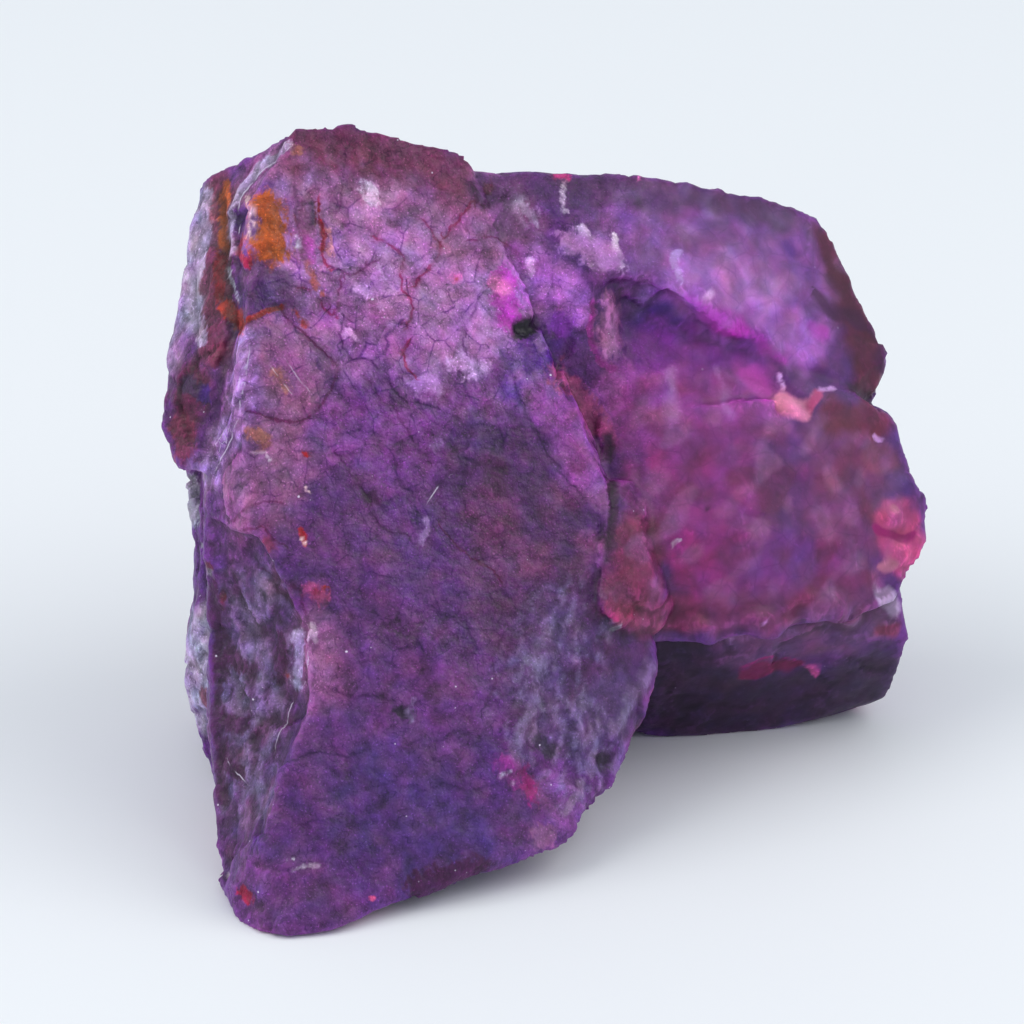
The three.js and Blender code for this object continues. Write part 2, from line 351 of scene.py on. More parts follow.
SEAMS = [
    # name, half-width, depth, path
    ("iron seam", 0.4, 0.12, [(-18.6, 33.2), (-18.5, 31.2), (-18.2, 29.4), (-18, 27.1), (-17.8, 25.1)]),
    ("arched seam", 0.25, 0.08, [(-17.6, 25.4), (-16.7, 25.9), (-15.9, 26.3), (-15, 26.7)]),
    ("seam to plate", 0.25, 0.12, [(3.1, 19.6), (3.5, 17.1), (3.3, 14.8), (3.1, 12.6)]),
]
CRACKS = [
    # how red its dye is (2 for a pale line that caught the light), strength, path
    # the upper face, and round its smooth plate
    (0.2, 0.6, [(-11.5, 35.7), (-11.7, 34.3), (-11.8, 32.7), (-12, 32.1)]),
    (0.2, 0.6, [(-14.3, 34.3), (-14.4, 32.5), (-14.4, 31.8), (-14.2, 31.1)]),
    (0, 0.7, [(-14.4, 32.5), (-14, 32.4), (-13.6, 32.4)]),
    (1, 1, [(-13, 32.7), (-12.9, 31.7), (-12.7, 30.8), (-12.7, 29.2), (-12.4, 28.8)]),
    (0.3, 0.8, [(-12.4, 29), (-11.3, 28.5), (-10.7, 28.6), (-10.3, 29.2), (-9.8, 29.4)]),
    (0.5, 0.7, [(-11.8, 28.7), (-11.9, 27.1), (-12.1, 26.2)]),
    (0.8, 0.8, [(-14, 27.7), (-13.4, 27.5), (-12.9, 26.9), (-12.6, 26.4), (-12, 26)]),
    (0.4, 0.9, [(-15.1, 26.5), (-14, 25.3), (-13.4, 24.8), (-12.2, 23.7), (-11.9, 23.1), (-12.1, 22.3),
     (-13.1, 20.9), (-13.5, 20.5), (-14, 20.3), (-14.8, 20.3), (-15.6, 20.5), (-16.7, 20.8)]),
    (0.1, 0.8, [(-11.6, 26.1), (-11.8, 25.1), (-11.6, 24.3), (-11.2, 23.8), (-10, 23.7), (-9.1, 22.5),
     (-8.4, 21.6), (-7.7, 21.4), (-6.4, 21.1)]),
    (0, 0.8, [(-8.4, 26), (-9, 25.5), (-9.3, 25.1), (-9.1, 24.5), (-9.4, 24.2)]),
    (0.7, 0.95, [(-9.9, 30.7), (-8.8, 30), (-8.3, 29.6), (-8.4, 28.1), (-8.3, 27.6), (-7.9, 27.2),
     (-7.8, 26.7), (-7.9, 26.1), (-8.2, 25.6)]),
    (0.7, 0.95, [(-4.4, 32.9), (-5.1, 31.9), (-6.3, 30.5), (-6.3, 29.7), (-6.7, 29.2), (-7.7, 28)]),
    (0.6, 0.7, [(-7.2, 31.6), (-6.8, 31.1), (-6.4, 30.6)]),
    (1, 0.9, [(-8, 24.8), (-8.3, 24.2), (-8.1, 23.5), (-7.6, 22.9)]),
    (0.1, 0.7, [(-4.1, 27.4), (-4.4, 26.5), (-4.8, 25.7), (-5, 24.9), (-4.8, 24.3)]),
    (0.4, 0.8, [(-4.5, 33.8), (-4.3, 33), (-3.9, 32.5)]),
    (0.5, 0.7, [(-4.6, 30.6), (-3.9, 30.7), (-3.4, 31), (-2.7, 30.5), (-2.1, 30)]),
    # the middle of the broad face
    (0, 0.6, [(-11.8, 19.5), (-11.1, 19.7), (-10.3, 19.8), (-9.6, 19.5)]),
    (0, 0.6, [(-13.3, 19.4), (-12.8, 18.8), (-12.1, 19)]),
    (0.2, 0.8, [(-12, 18.5), (-10.9, 17.1), (-10.2, 15.8), (-9.9, 15.1), (-9.5, 14.5), (-8.2, 14),
     (-7.7, 13.4)]),
    (0.2, 0.8, [(-8.2, 20), (-7.8, 19.3), (-7.3, 18.5), (-6.9, 18)]),
    (0, 0.7, [(-8.8, 17.7), (-8.5, 16.9), (-7.8, 16.4), (-7.6, 15.6), (-7.5, 14.8)]),
    (0.7, 0.7, [(-6.2, 14.6), (-5.7, 13.7), (-4.3, 12.6), (-3.4, 12.2), (-2.9, 11.5)]),
    (0, 0.6, [(-4, 20.2), (-3.3, 20.1), (-2.8, 19.6), (-2.8, 18.8)]),
    (0, 0.6, [(-5.6, 18.9), (-5, 18.3), (-3.5, 17.8), (-2.6, 17.6)]),
    (0.3, 0.5, [(-10.4, 22.8), (-9.5, 21.4), (-8.7, 20.9), (-8.2, 20)]),
    (0.1, 0.7, [(-2.2, 22.8), (-1.3, 20.5), (-0.2, 18.7), (0.9, 17.1), (1.6, 16.4)]),
    # the left side
    (0.5, 0.7, [(-14.7, 13.4), (-15.6, 13.9), (-16, 14.5), (-17, 14.3)]),
    (0.4, 0.6, [(-17.7, 14.8), (-17, 15.5), (-16, 16), (-14.8, 15.8)]),
    (0.4, 0.7, [(-16.1, 12.1), (-15.4, 11.6), (-14.5, 11.4), (-13.8, 10.6), (-13.6, 9.8)]),
    # the lower half
    (0.1, 0.7, [(-12.2, 5.5), (-11.2, 5.1), (-10.1, 5.2), (-8.9, 4.9)]),
    (0, 0.6, [(-14.4, 1.6), (-12.8, 2.1), (-11.4, 1.8), (-10.3, 2.1)]),
    (0, 0.5, [(-8.4, 2.1), (-7.3, 2.8), (-6.2, 2.5), (-5.4, 3.2), (-4.6, 2.9)]),
    (0, 0.5, [(-13.9, -1.9), (-12.3, -1.6), (-11, -2.1), (-10, -1.8)]),
    (0, 0.5, [(-7.3, -0.1), (-5.9, 0.3), (-4.6, -0.2), (-3.3, 0.1)]),
    (0.2, 0.5, [(-11.7, 10.4), (-11.1, 9.4), (-11.2, 8.2), (-10.5, 7.4)]),
    (0, 0.5, [(-7.1, 10.4), (-6.2, 9.6), (-5.2, 9.4), (-4.6, 8.6), (-4.3, 7.6)]),
    (0.3, 0.5, [(-2.9, 8.1), (-3.3, 7), (-3.1, 5.8), (-3.7, 4.8)]),
    (0, 0.5, [(-9.3, 8.2), (-8.3, 7.6), (-7.4, 7.9), (-6.8, 7.1)]),
    # pale scratches, and painted highlights where glassy edges catch the light
    (2, 0.9, [(-14.7, 35.6), (-15.7, 34.8), (-16.6, 33.8), (-17.3, 32.9), (-17.5, 31.9), (-17.6, 31)]),
    (2, 0.9, [(-16.7, 24.5), (-16.9, 23.3), (-17.1, 21.8)]),
    (2, 0.8, [(-17.1, 24.1), (-17.2, 22.9), (-17.3, 21.2)]),
    (2, 0.8, [(-17.5, 24.3), (-17.6, 22.9), (-17.8, 21.6)]),
    (2, 0.9, [(-17.5, 20.2), (-18.1, 19.1), (-18.8, 17.6)]),
    (2, 0.8, [(-18.1, 20), (-18.7, 19.1), (-19.4, 18.1)]),
    (2, 0.5, [(-15.8, 23.6), (-15.1, 22.6), (-14.4, 21.8)]),
    (2, 0.5, [(-14.9, 23.8), (-14.2, 22.9), (-13.6, 22.1)]),
    (2, 0.8, [(-13.4, 8.2), (-13.4, 7), (-13.6, 5.8)]),
    (2, 0.8, [(-14.5, 4.6), (-14.9, 3.3), (-15.3, 2.1)]),
    (2, 0.9, [(-6.9, 15.9), (-6.3, 16.7), (-5.7, 17.3)]),
    (2, 0.95, [(-18, 1.3), (-17.6, 0.7), (-17.1, 0.2)]),
]
CRACK_REACH = 0.45  # how far from a crack its shade goes
CRACK_CLEAR = 0.375 * CRACK_REACH  # how far it keeps its full strength
CRACK_DEPTH = 0.07

near_skin = skin + wander * RIDGE_WANDER
for name, width, height, path in CRESTS:
    relief += height * np.clip(1 - reach(path, near_skin, width), 0, 1) * facing
for name, width, height, path in LUMPS:
    relief += height * fall(reach(path, near_skin, width), 0.2, 1.2) * facing
painted_seam_shade = np.zeros(len(skin))
for name, width, depth, path in SEAMS:
    inside = np.clip(1.3 - reach(path, near_skin, width), 0, 1) * facing
    relief -= depth * inside
    painted_seam_shade = np.maximum(painted_seam_shade, inside)

# A crack is finer than the mesh, so each vertex only keeps how far it lies from the nearest one, below zero
# on one side of it. The finish draws the crack where that passes through zero.
crack_gap = np.full(len(skin), CRACK_REACH)
crack_red, crack_strength = np.zeros(len(skin)), np.zeros(len(skin))
for red, strength, path in CRACKS:
    gap, side = trace(path, skin + wander * CRACK_WANDER, CRACK_REACH)
    nearer = gap < np.abs(crack_gap)
    crack_gap[nearer] = (gap * side)[nearer]
    crack_red[nearer] = red
    crack_strength[nearer] = (strength * fall(gap, CRACK_CLEAR, CRACK_REACH) * facing)[nearer]
relief -= CRACK_DEPTH * crack_strength * (1 - np.minimum(np.abs(crack_gap) / CRACK_REACH, 1))

# The feet stay flat where the stone rests, up to the first of these heights.
FOOT_HEIGHTS = (0.05, 0.65)
relief = (relief + WORN_AWAY) * rise(skin[:, 2], *FOOT_HEIGHTS)
formed = (skin + outward * relief[:, None]) * MM
formed[:, 2] = np.maximum(formed[:, 2], 0)
formed = np.clip(formed, np.array(cad_low), np.array(cad_high))
set_points(even, formed)
even.polygons.foreach_set("use_smooth", [True] * len(even.polygons))

# --- Stains ---------------------------------------------------------------------------------------------
# The violet runs from lavender to indigo through the crystal, with wine and magenta where the cracks let
# dye in and rust where the rock's iron did. Each stain lies along a path on the front. A wide one is a
# wash that fades into the violet, and a narrow one is a mark with a broken edge.
# Some stains are painted light instead: painted glow where light passes through thin parts, painted
# highlights and sheen on grazing faces, and painted shade in hollows and under overhangs.

DEEPEST = 0.004  # no channel goes below this
SHEEN = 0.015  # what the sheen of the surface adds to every colour
LIGHTER = 1.24  # a leaning face looks darker than its own colour


def lit(red, green, blue):
    """The stone's own colour, linear, where it looks like this in daylight on a scale of 0 to 255."""
    share = np.array([red, green, blue]) / 255
    seen = np.where(share <= 0.04045, share / 12.92, ((share + 0.055) / 1.055) ** 2.4)
    return LIGHTER * np.maximum(seen - SHEEN, DEEPEST)


VIOLET = lit(88, 51, 106)
VIOLET_BRIGHT = lit(119, 57, 152)
BLUE_VIOLET = lit(76, 54, 106)
GREY_VIOLET = lit(84, 64, 104)
PLUM_VIOLET = lit(80, 50, 86)
WINE_VIOLET = lit(121, 57, 112)
ROSE_VIOLET = lit(140, 68, 138)
PURPLE = lit(101, 46, 116)
INDIGO = lit(72, 43, 118)
DUSK = lit(64, 42, 90)
AMETHYST = lit(116, 63, 127)
AMETHYST_DARK = lit(96, 58, 108)
LAVENDER = lit(165, 100, 180)
LAVENDER_DARK = lit(124, 76, 138)
LAVENDER_DEEP = lit(136, 72, 143)
GREY_LAVENDER = lit(132, 100, 147)
LILAC = lit(174, 136, 196)
LILAC_PINK = lit(168, 116, 176)
LILAC_DARK = lit(156, 112, 168)
LILAC_PALE = lit(198, 148, 208)
FROST = lit(214, 203, 225)
PALE = lit(198, 172, 204)
PALE_ROSE = lit(168, 142, 164)
CREAM = lit(200, 168, 174)
# ASH and GREY are used only for painted sheen, reflection and highlight.
ASH = lit(164, 158, 178)
GREY = lit(132, 126, 143)
GREY_LILAC = lit(150, 131, 161)
SLATE = lit(112, 94, 128)
SLATE_LIGHT = lit(144, 127, 168)
SLATE_PINK = lit(128, 100, 138)
ORCHID = lit(166, 112, 165)
ORCHID_DARK = lit(147, 88, 149)
MAUVE = lit(137, 88, 127)
MAUVE_PINK = lit(155, 98, 144)
PLUM_PINK = lit(127, 78, 120)
PLUM_ROSE = lit(108, 60, 99)
PLUM = lit(114, 60, 97)
GREY_PLUM = lit(98, 66, 102)
PLUM_BROWN = lit(102, 48, 69)
PLUM_RED = lit(116, 54, 80)
DARK_PLUM = lit(67, 38, 66)
NIGHT = lit(40, 34, 46)
NIGHT_VIOLET = lit(60, 46, 68)
PIT = lit(30, 34, 42)
MAGENTA = lit(163, 52, 163)
MAGENTA_DARK = lit(138, 50, 126)
MAGENTA_VIOLET = lit(118, 52, 130)
MAGENTA_ROSE = lit(146, 53, 115)
MAGENTA_DEEP = lit(143, 33, 104)
MAGENTA_WINE = lit(112, 37, 76)
HOT_MAGENTA = lit(180, 74, 168)
HOT_PINK = lit(220, 88, 164)
PINK = lit(200, 102, 168)
SALMON = lit(214, 126, 162)
ROSE = lit(184, 74, 120)
ROSE_DEEP = lit(160, 49, 102)
ROSE_PALE = lit(174, 106, 132)
ROSE_PLUM = lit(150, 71, 113)
ROSE_BROWN = lit(138, 80, 99)
WINE = lit(82, 41, 58)
WINE_RED = lit(98, 33, 43)
RED = lit(152, 40, 43)
RUST = lit(156, 78, 46)
RUST_DARK = lit(150, 62, 36)
AMBER = lit(146, 92, 82)
RUST_RED = lit(150, 52, 40)
RED_WINE = lit(140, 30, 66)
PEACH = lit(200, 132, 134)

WASH_WIDTH = 1.0  # a stain at least this wide is a wash
MARK_FULL = 1.35  # cover on the path of a mark, above 1 so that its middle is solid
MARK_FALL = 0.85  # how much of it is lost over one half-width
# Seams and hollows are darkened in colour as painted shade, by these shares.
SEAM_SHADE = 0.5  # how much darker a seam is
HOLLOW_SHADE = 0.45
STAINS = [
    # name, colour, half-width, strength, path
    # the broad front face
    ("violet down left", AMETHYST_DARK, 2.8, 0.9, [(-11.25, 14.75), (-9.5, 10.5)]),
    ("lower violet", AMETHYST_DARK, 4.2, 0.8, [(-7.25, 6), (-10.5, 2.75)]),
    ("blue violet low", BLUE_VIOLET, 3.3, 0.9, [(-9, -0.75), (-5.75, -3)]),
    ("plum in middle", PLUM_VIOLET, 3.1, 0.9, [(-3, 17), (-0.75, 13.75), (-2.25, 10.25)]),
    ("plum on right", PLUM_VIOLET, 2.8, 0.8, [(1, 10.25), (2.75, 7), (0.5, 4.75)]),
    ("brown in middle", PLUM, 1.5, 0.45, [(-3.5, 16.8), (-3, 13.6), (-1.4, 12.2)]),
    ("pink of upper face", ORCHID, 4.2, 1, [(-11.75, 30.5), (-8.5, 28.75), (-5.75, 26.75)]),
    ("plum pink under ridge", MAUVE, 2.2, 0.9, [(-13.25, 33.75), (-9, 33.75), (-5.75, 32.5), (-3.75, 30)]),
    ("pink below iron", ORCHID_DARK, 2.1, 0.9, [(-14, 25.5), (-11.75, 24.5), (-9, 24.25)]),
    ("mauve middle left", MAUVE, 2.1, 0.9, [(-14.25, 23.75), (-14, 19.75)]),
    ("violet middle left", AMETHYST, 2.2, 0.9, [(-11.5, 19.75), (-8.5, 18.25)]),
    ("violet under blocks", AMETHYST, 1.9, 0.9, [(-8.75, 21.25), (-5.25, 21.75), (-1.25, 22.5)]),
    ("mauve low on left", PLUM_PINK, 1.4, 0.8, [(-13.4, 8.75), (-12.6, 5.5)]),
    ("magenta toe", AMETHYST_DARK, 2.2, 0.9, [(-15.5, -5), (-13.75, -6)]),
    ("mauve down left", MAUVE, 2.2, 0.8, [(-16.5, 24), (-16.5, 19.75), (-16.5, 16)]),
    ("plum along ridge", PLUM_BROWN, 1.5, 0.8, [(-13.5, 35.75), (-10.75, 35.5), (-7.5, 35), (-4.75, 34)]),
    ("mauve under shoulder", MAUVE, 1.4, 0.6, [(-16, 21.5), (-14.75, 17.5), (-17.25, 17)]),
    ("dark brown patch", DARK_PLUM, 0.72, 0.5, [(-10, 16)]),
    ("pale block a", LILAC_PALE, 0.8, 0.8, [(-5.1, 23.6), (-4.5, 23.4)]),
    ("pale block b", LILAC_DARK, 0.75, 0.75, [(-7.4, 22.4), (-6.7, 22.2)]),
    ("pale block c", LILAC_DARK, 0.68, 0.6, [(-3.75, 25.5)]),
    ("pale patch", PALE, 0.5, 0.6, [(-10.4, 33.5), (-10, 32.7)]),
    ("pale spots a", LILAC_PALE, 0.35, 0.4, [(-10.8, 27.9), (-9.9, 27.1), (-9.4, 26.6)]),
    ("pale spots b", LILAC_PALE, 0.3, 0.4, [(-11.4, 25.3), (-10.8, 24.8)]),
    ("pale spots c", LILAC_PALE, 0.28, 0.4, [(-9.6, 29), (-9.3, 28.2)]),
    ("dark blue patch", DUSK, 0.5, 0.6, [(-12.7, 23.7), (-12.3, 22.6)]),
    ("dark olive", DARK_PLUM, 0.5, 0.5, [(-2.8, 17.9), (-3, 16.5)]),
    ("grey patch", GREY_LAVENDER, 0.45, 0.5, [(-6.5, 19)]),
    ("chip by scratches", GREY_LAVENDER, 0.22, 0.8, [(-7, 14.8), (-6.9, 14.3), (-7.4, 13.6)]),
    ("pock", NIGHT, 0.45, 0.7, [(-8.6, 4.3), (-8, 4.1)]),
    ("dark crumb of pock", DARK_PLUM, 0.4, 0.6, [(-6.9, 5.1)]),
    ("crust of pock", SLATE_LIGHT, 0.13, 0.3, [(-7.6, 4.9), (-7.9, 4.2), (-7.5, 3.6)]),
    # the corner under the peak, and the left shoulder
    # painted sheen: the grazing left face reflects the pale room
    ("pale left face", ASH, 1.1, 0.7, [(-19.75, 32.75), (-19.75, 30.75), (-20, 28.75), (-20.25, 26.75)]),
    ("mauve by pale bevel", MAUVE, 1, 0.85, [(-16.9, 33.4), (-15.6, 34.9)]),
    # painted highlight along the shoulder's edge
    ("grey of shoulder", GREY_LAVENDER, 1, 0.8, [(-17, 24.6), (-17.4, 20.7), (-18.5, 19), (-19.3, 17.5)]),
    ("wine by iron seam", PLUM_BROWN, 1, 0.9, [(-18.8, 33.6), (-18.8, 30), (-19, 26.5), (-18.9, 24.5)]),
    ("plum under iron stain", PLUM_VIOLET, 1.1, 0.8, [(-16.3, 28.2), (-15, 27.3)]),
    # painted sheen on the far left edge
    ("grey plum at edge", GREY_LILAC, 1.1, 0.6, [(-21, 31), (-21.4, 27.5), (-21.6, 24)]),
    ("iron stain", RUST, 0.95, 1, [(-15.85, 32.1), (-15.7, 29.9)]),
    # painted highlight on the glossy edge of the iron stain
    ("painted highlight on iron", CREAM, 0.2, 0.5, [(-16.9, 32.8), (-16.7, 31.8), (-16.8, 30.8)]),
    ("red foot of iron", RED_WINE, 0.31, 0.9, [(-17.2, 30.6), (-17.4, 29.8), (-16.9, 29.1)]),
    ("iron seam", RUST, 0.42, 1, [(-18.3, 33.7), (-18.4, 32.6), (-18.4, 31.4), (-18.5, 30.3)]),
    ("red end of iron seam", WINE_RED, 0.39, 0.9, [(-18.5, 29.7), (-18.6, 28.6), (-18.6, 27.4)]),
    ("rust under seam", RUST_RED, 0.5, 0.8, [(-18.2, 26.7), (-17.6, 26.1), (-17.3, 25.4)]),
    ("wine under seam", PLUM_BROWN, 0.33, 0.8, [(-18.4, 24.6), (-18.8, 23.6)]),
    ("red arch", RUST_RED, 0.2, 0.75, [(-17, 25.9), (-16.4, 26.2), (-15.8, 26.4), (-15.2, 26.6)]),
    # partly frosted scratches, partly painted sheen along the ridge, and so is its pale foot
    ("pale bevel", GREY_LILAC, 0.28, 0.95, [(-14.7, 35.8), (-15.7, 35), (-16.7, 34), (-17.4, 33),
     (-17.9, 32.1), (-18, 30.8), (-17.9, 29.8)]),
    ("pale foot of bevel", ASH, 0.17, 0.9, [(-18.1, 29), (-18, 28.2), (-17.5, 27.2)]),
    # painted sheen on the grazing left strip, in both of these strips
    ("pale strip", GREY_LILAC, 0.4, 1, [(-19.5, 33.2), (-19.5, 31.2), (-19.7, 29.4), (-20, 28.1)]),
    ("pale strip b", GREY_LILAC, 0.5, 1, [(-20.1, 27.2), (-19.9, 26.1), (-19.6, 25)]),
    ("pink by seam", ROSE_BROWN, 0.23, 0.6, [(-19, 32.9), (-19.1, 31.6)]),
    ("brown spot by ridge", AMBER, 0.39, 0.6, [(-14.2, 35.5)]),
    ("plum by iron stain", PLUM, 0.56, 0.5, [(-14, 32.25), (-13.5, 29.25)]),
    # painted shade in the slot
    ("slot by plum", NIGHT_VIOLET, 0.22, 0.7, [(-13.4, 32.4), (-13.3, 31.5)]),
    ("wine by slot", RED_WINE, 0.17, 0.9, [(-12.9, 32.4), (-12.8, 30.8), (-12.7, 29.9)]),
    ("orange by red crack", PEACH, 0.22, 0.35, [(-12.4, 30.9), (-12.3, 29.6)]),
    ("pink by red crack", HOT_MAGENTA, 0.28, 0.5, [(-13.5, 30.5), (-13.2, 29.2)]),
    ("white fleck", FROST, 0.14, 0.95, [(-14.2, 30.6), (-14.1, 30.1)]),
    ("rust streak a", RUST, 0.25, 0.5, [(-13.5, 29.2), (-13.3, 28.2), (-12.8, 27.2)]),
    ("rust streak b", RUST_RED, 0.25, 0.7, [(-14.2, 26.4), (-13.8, 25.7)]),
    ("wine shoulder", WINE, 1.2, 0.9, [(-20.25, 22.5), (-20.5, 21)]),
    ("dark of shoulder", NIGHT_VIOLET, 0.5, 0.85, [(-20.4, 22.4), (-19.6, 22)]),
    ("indigo patch", INDIGO, 0.28, 0.9, [(-19.4, 21.6), (-19.3, 22.1)]),
    ("chin", PLUM_BROWN, 0.73, 0.8, [(-20.75, 20), (-20.5, 18.75)]),
    ("dark edge of plate", GREY_PLUM, 0.33, 0.5, [(-13.2, 24.6), (-12.7, 23.9), (-12.2, 22.9)]),
    ("ochre of plate", AMBER, 0.44, 0.4, [(-15.3, 23), (-14.8, 22.3)]),
    # painted reflection on the grazing left wall, in both of these marks
    ("grey wall", GREY, 0.52, 0.9, [(-20.7, 17.1), (-20.4, 14.8)]),
    ("grey wall b", GREY, 0.28, 0.9, [(-19.9, 13.4), (-19.1, 11.8)]),
    ("amber grain", AMBER, 0.44, 0.75, [(-16.7, 19.6), (-16.1, 19.4)]),
    ("ochre of amber", AMBER, 0.28, 0.5, [(-15.7, 19.1), (-16.1, 19)]),
    ("crumbs under amber", PALE_ROSE, 0.12, 0.7, [(-16.5, 18.5), (-15.9, 18.6), (-15.6, 18.1)]),
    ("red spot", RED, 0.22, 0.9, [(-13.6, 18.4)]),
    ("cream chip", CREAM, 0.17, 0.8, [(-13.8, 16.6), (-13.6, 16.4)]),
    ("red streak", RED, 0.22, 0.8, [(-13.9, 14.2), (-13.6, 13.5)]),
    ("cream edge of streak", CREAM, 0.08, 0.9, [(-13.9, 13.7), (-13.5, 13.4)]),
    ("rose spots", ROSE_PLUM, 0.44, 0.55, [(-13.3, 11), (-12.7, 10.5)]),
    ("red spot in rose", RED_WINE, 0.22, 0.6, [(-13.1, 10.8)]),
    ("orange crumb", RUST_RED, 0.17, 0.8, [(-12.5, 11.1)]),
    ("wall lump a", WINE, 0.34, 0.9, [(-19, 12.2)]),
    ("wall lump b", WINE_RED, 0.45, 0.6, [(-18.4, 10.5)]),
    ("brown patch", PLUM_BROWN, 0.5, 0.5, [(-15.8, 13.5)]),
    # the valley and the crater
    ("valley", PLUM_PINK, 1.4, 0.9, [(-3.75, 33.75), (-1.75, 31.25)]),
    # painted glow of light through the thin crystal round the pit, in the glows and the hot marks below
    ("glow left of pit", LILAC_PINK, 1.5, 0.9, [(-4.5, 27.75), (-3, 27.25)]),
    ("glow right of pit", LAVENDER, 1.5, 1, [(-1.25, 28.75), (0.5, 27.5)]),
    ("pink ring", PINK, 0.45, 0.7, [(-5.4, 28.3)]),
    ("rust in ring", RUST_DARK, 0.13, 0.8, [(-5.4, 28.3)]),
    ("magenta glow", MAGENTA, 0.9, 0.8, [(-2.7, 28.2), (-2.4, 26.5)]),
    ("hot magenta", MAGENTA, 0.35, 0.9, [(-2.4, 27.2), (-2.3, 26.1)]),
    ("hot pink", PINK, 0.5, 0.85, [(-3.4, 28.2), (-2.7, 27.9)]),
    ("frosted grain", LILAC_PALE, 0.42, 0.9, [(-1.3, 29.5), (-1.25, 29.1)]),
    ("grey valley", GREY_PLUM, 0.79, 0.6, [(-2.25, 33.25), (-2.25, 31)]),
    ("grey of valley", GREY_LILAC, 0.5, 0.5, [(-2, 32.6), (-0.9, 31.9)]),
    ("indigo valley", INDIGO, 1.4, 0.8, [(-0.75, 24.25), (-1.75, 22.25)]),
    # painted shade in the pit
    ("pit", PIT, 0.6, 0.95, [(-1.7, 25.6), (-1.1, 25.9)]),
    ("violet left of crater", VIOLET_BRIGHT, 0.79, 0.8, [(0.5, 26)]),
    ("oval grain", MAUVE_PINK, 0.8, 0.7, [(3.25, 27), (3.25, 24.5)]),
    # partly the crystal's indigo, partly painted shade in the crater's recess
    ("dark crater", INDIGO, 1.4, 0.85, [(5.75, 27), (8.25, 25.75)]),
    ("purple crater", PURPLE, 1.3, 0.7, [(9.5, 24.25)]),
    ("ring of oval grain", MAGENTA_DARK, 0.23, 0.7, [(2.3, 27.3), (2.1, 25.6), (2.6, 23.9), (3.5, 23.4)]),
    # painted glow along the rim
    ("glow of rim", MAGENTA, 0.6, 0.2, [(7.9, 27.4), (9.4, 26.2), (11.1, 25.6), (13.2, 23.9)]),
    # the upper block
    # painted glow: light passing through the thin upper block lightens its face, band and light
    ("face of block", LAVENDER_DARK, 2.9, 0.9, [(5, 31), (9.75, 30.75), (13.75, 29.25)]),
    ("band of block", LAVENDER, 1.6, 0.9, [(8, 28.25), (11, 26.75), (14.25, 25)]),
    ("painted glow in block", LILAC_PINK, 1.1, 0.5, [(9.5, 29.5), (12.5, 27.8)]),
    ("magenta by crater", MAGENTA_VIOLET, 1.9, 0.9, [(6.25, 24.25), (10.75, 24.5)]),
    ("indigo spot", INDIGO, 0.6, 0.4, [(13.75, 30.5)]),
    ("magenta patch", MAGENTA, 0.69, 0.4, [(15.5, 25.75)]),
    ("frost streak a", PALE, 0.22, 0.25, [(0.7, 33.9), (0.7, 32.3)]),
    ("frost streak b", PALE, 0.3, 0.75, [(1.8, 31.4), (2.5, 29.6)]),
    ("frost streak c", FROST, 0.2, 0.8, [(3.5, 31), (4, 29.1)]),
    ("frost streak d", LILAC, 0.28, 0.8, [(7.3, 29.9), (7.4, 28.5)]),
    ("veil between streaks", LILAC_PINK, 0.9, 0.6, [(1.2, 30.6), (3.4, 29.6)]),
    ("lilac highlight", LILAC_PALE, 0.4, 0.7, [(8.8, 27.6)]),
    # partly the bevel's wine colour, partly painted shade on the side turned from the light
    ("wine side bevel", WINE, 1.2, 0.95, [(16.25, 30.75), (17.5, 27.5), (18.25, 24.75), (18.5, 22.75)]),
    ("dark edge of side", DARK_PLUM, 0.5, 0.6, [(17.4, 29.8), (18.7, 26), (19.3, 23.4)]),
    ("plum top of block", PLUM_VIOLET, 1, 0.8, [(-3.75, 33.5), (0.5, 33.75), (7.5, 33.5), (13.5, 32.5)]),
    ("brown notch", WINE, 0.45, 0.6, [(-3.6, 33.6)]),
    # painted shade in the notch
    ("dark notch", DARK_PLUM, 0.4, 0.6, [(-3.6, 32.7)]),
    ("red bump", ROSE_DEEP, 0.28, 0.6, [(0.3, 34.4), (0.9, 34.3)]),
    ("pink edge", PINK, 0.25, 0.7, [(5.1, 34.3)]),
    # the plate and its ledge
    ("plate", WINE_VIOLET, 4.6, 1, [(8.5, 17.75), (13.75, 14.75)]),
    ("ledge", ROSE_VIOLET, 1.8, 0.9, [(4, 21.75), (8, 21.75), (11.5, 21.75)]),
    ("right of plate", PLUM_ROSE, 2.1, 0.8, [(16.75, 18.75), (17.75, 14.25)]),
    ("pale column a", LILAC_PINK, 0.6, 0.2, [(6.9, 23), (6.9, 20.6)]),
    ("pale column b", LILAC_PINK, 0.5, 0.1, [(9.8, 23.4), (10.2, 21)]),
    ("pink ledge", HOT_MAGENTA, 0.8, 0.55, [(11.5, 23.25), (12.25, 22)]),
    ("red ledge", ROSE_PLUM, 0.85, 0.7, [(0.5, 23), (1.75, 21.75), (2.75, 20)]),
    ("lavender bevel", LAVENDER_DEEP, 1.2, 0.9, [(-0.25, 21.5), (1.25, 19.75), (2, 17.5)]),
    ("bright sliver", LILAC_PALE, 0.16, 0.9, [(12.8, 23), (13.6, 22.1)]),
    ("dark wine ledge", PLUM_BROWN, 1, 0.9, [(16.25, 20.75), (18.75, 20.5)]),
    # partly its salmon colour, partly painted glow of light through the thin edge
    ("salmon nick", SALMON, 0.7, 0.9, [(13.5, 21.25), (14.25, 21.5)]),
    ("rose nick", ROSE, 0.4, 0.7, [(14.8, 21.4), (15.3, 22.1)]),
    ("lilac nick", LILAC_PALE, 0.22, 0.5, [(15.6, 22.5), (16.6, 22.2)]),
    ("lilac spot", LILAC_PALE, 0.24, 0.6, [(18.9, 19.9), (19.3, 19.5)]),
